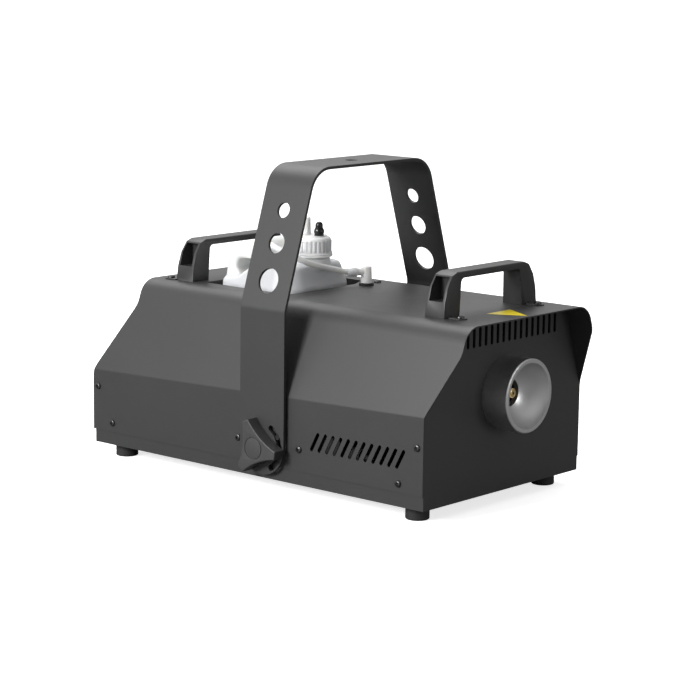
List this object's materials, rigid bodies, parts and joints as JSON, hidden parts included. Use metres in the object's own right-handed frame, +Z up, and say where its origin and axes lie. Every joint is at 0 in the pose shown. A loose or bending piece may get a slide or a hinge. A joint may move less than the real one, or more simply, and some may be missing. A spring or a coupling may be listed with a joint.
{
  "type": "fog machine",
  "caption": "Black sheet-metal fog machine with a tilting hanging bracket, two carrying handles, a round front nozzle and a lift-out fluid bottle with cap and hose.",
  "frame": {"origin": "on the floor under the middle of the overall box", "axes": "+X out of the nozzle, +Y to the machine's left, +Z up"},
  "size_m": [0.49, 0.2952, 0.331],
  "materials": {
    "black_powder_coat": "fine matt black powder coat",
    "handle_plastic": "moulded black, light grain",
    "black_steel": "blackened steel screws",
    "foot_rubber": "matt black rubber",
    "zinc_steel": "bright zinc plate",
    "yellow_label": "plain yellow triangle, no symbol",
    "washer_plastic": "black nylon",
    "bare_aluminium": "turned, clear satin anodised",
    "dark_insulator": "high temperature board",
    "nozzle_brass": "machined brass",
    "cast_aluminium": "as cast",
    "fibre_jacket": "dark needled glass fibre mat",
    "hose_plastic": "translucent soft tube",
    "circuit_board": "green solder mask",
    "component_black": "moulded black",
    "display_glass": "smoked window",
    "knob_plastic": "moulded black, fine grain",
    "bottle_plastic": "translucent natural polyethylene",
    "cap_plastic": "moulded white",
    "valve_rubber": "soft black rubber",
    "button_plastic": "moulded dark grey"
  },
  "bodies": {
    "chassis": {"top_cover": "black_powder_coat", "chassis_tray": "black_powder_coat", "rear_panel": "black_powder_coat", "front_handle": "handle_plastic", "rear_handle": "handle_plastic", "top_screws": "black_steel", "cover_screws": "black_steel", "rubber_feet": "foot_rubber", "foot_screws": "zinc_steel", "warning_triangle": "yellow_label", "spacer_washers": "washer_plastic", "stop_pins": "black_steel", "pivot_nuts": "zinc_steel", "nozzle_shroud": "bare_aluminium", "shroud_plate": "dark_insulator", "brass_nozzle": "nozzle_brass", "outlet_pipe": "zinc_steel", "exchanger_lower": "cast_aluminium", "exchanger_upper": "cast_aluminium", "heater_rods": "zinc_steel", "exchanger_bolts": "zinc_steel", "insulation_jacket": "fibre_jacket", "exchanger_stand": "zinc_steel", "thermal_cutout": "zinc_steel", "pump": "zinc_steel", "suction_line": "hose_plastic", "main_board": "circuit_board", "board_parts": "component_black", "board_standoffs": "zinc_steel", "power_transformer": "component_black", "bottle_well": "black_powder_coat", "hose_socket": "foot_rubber", "mains_inlet": "component_black", "inlet_pins": "nozzle_brass", "panel_screws": "black_steel", "data_sockets": "component_black", "fuse_holder": "component_black", "switch_frame": "component_black", "display_frame": "component_black", "display_window": "display_glass"},
    "bracket": {"bracket": "black_powder_coat"},
    "right_knob": {"right_knob": "knob_plastic", "right_stud": "zinc_steel"},
    "left_knob": {"left_knob": "knob_plastic", "left_stud": "zinc_steel"},
    "bottle": {"fluid_bottle": "bottle_plastic", "cap_insert": "cap_plastic", "cap_elbow": "cap_plastic", "vent_valve": "valve_rubber", "fluid_hose": "hose_plastic", "plug_elbow": "cap_plastic", "dip_tube": "hose_plastic"},
    "cap": {"cap_ring": "cap_plastic"},
    "rocker": {"power_rocker": "component_black"},
    "fuse": {"fuse_cap": "component_black"},
    "button_1": {"menu_button_1": "button_plastic"},
    "button_2": {"menu_button_2": "button_plastic"},
    "button_3": {"menu_button_3": "button_plastic"},
    "button_4": {"menu_button_4": "button_plastic"}
  },
  "joints": [
    {"name": "bracket_tilt", "type": "hinge", "parent": "chassis", "child": "bracket", "pos_m": [0.01, 0, 0.0492], "axis": [0, 1, 0], "range_deg": [-47, 26]},
    {"name": "right_knob_turn", "type": "hinge", "parent": "chassis", "child": "right_knob", "pos_m": [0.01, -0.14, 0.0492], "axis": [0, -1, 0], "continuous": true},
    {"name": "left_knob_turn", "type": "hinge", "parent": "chassis", "child": "left_knob", "pos_m": [0.01, 0.14, 0.0492], "axis": [0, 1, 0], "continuous": true},
    {"name": "bottle_lift", "type": "slide", "parent": "chassis", "child": "bottle", "axis": [0, 0, 1], "range_m": [0, 0.09]},
    {"name": "cap_turn", "type": "hinge", "parent": "bottle", "child": "cap", "pos_m": [-0.047, 0, 0.235], "axis": [0, 0, 1], "continuous": true},
    {"name": "rocker_tilt", "type": "hinge", "parent": "chassis", "child": "rocker", "pos_m": [-0.2265, -0.048, 0.056], "axis": [0, 1, 0], "range_deg": [-16, 0]},
    {"name": "fuse_turn", "type": "hinge", "parent": "chassis", "child": "fuse", "pos_m": [-0.232, -0.018, 0.056], "axis": [-1, 0, 0], "range_deg": [0, 90]},
    {"name": "button_1_press", "type": "slide", "parent": "chassis", "child": "button_1", "axis": [0.864, 0, -0.5035], "range_m": [0, 0.0015], "stiffness_N_per_m": 400, "springref_m": -0.0005},
    {"name": "button_2_press", "type": "slide", "parent": "chassis", "child": "button_2", "axis": [0.864, 0, -0.5035], "range_m": [0, 0.0015], "stiffness_N_per_m": 400, "springref_m": -0.0005},
    {"name": "button_3_press", "type": "slide", "parent": "chassis", "child": "button_3", "axis": [0.864, 0, -0.5035], "range_m": [0, 0.0015], "stiffness_N_per_m": 400, "springref_m": -0.0005},
    {"name": "button_4_press", "type": "slide", "parent": "chassis", "child": "button_4", "axis": [0.864, 0, -0.5035], "range_m": [0, 0.0015], "stiffness_N_per_m": 400, "springref_m": -0.0005}
  ]
}
